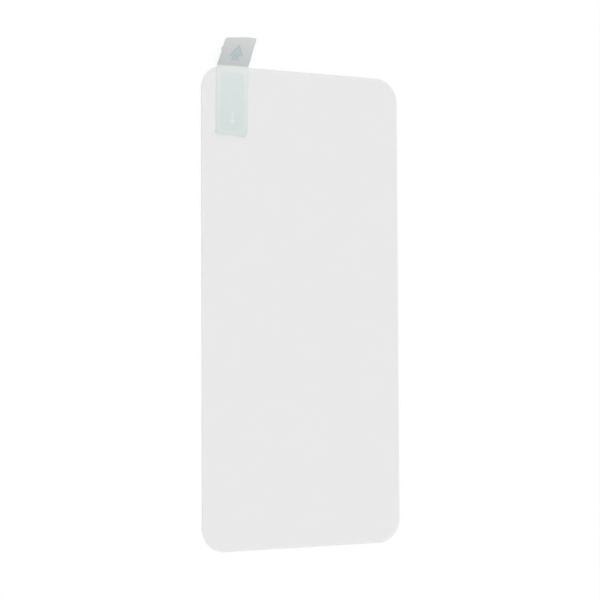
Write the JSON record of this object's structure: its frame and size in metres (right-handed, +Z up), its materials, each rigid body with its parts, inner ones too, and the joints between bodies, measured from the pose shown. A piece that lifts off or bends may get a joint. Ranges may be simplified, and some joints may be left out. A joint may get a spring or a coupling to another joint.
{
  "type": "phone screen protector",
  "caption": "Thin clear tempered glass sheet with rounded corners for a phone display, its release liner still on the adhesive side, and a printed film pull tab bent up past one end.",
  "frame": {"origin": "centre of the glass's front face, which lies on the surface", "axes": "+Z up, out of the liner side; +Y along the length, towards the end with the pull tab; +X across the width"},
  "size_m": [0.071, 0.1636, 0.0074],
  "materials": {
    "glass": "polished tempered glass with a ground, rounded front edge",
    "liner": "clear polyester film",
    "tab": "printed polyester film"
  },
  "bodies": {
    "root": {"glass_sheet": "glass", "release_liner": "liner", "pull_tab": "tab"}
  },
  "joints": []
}
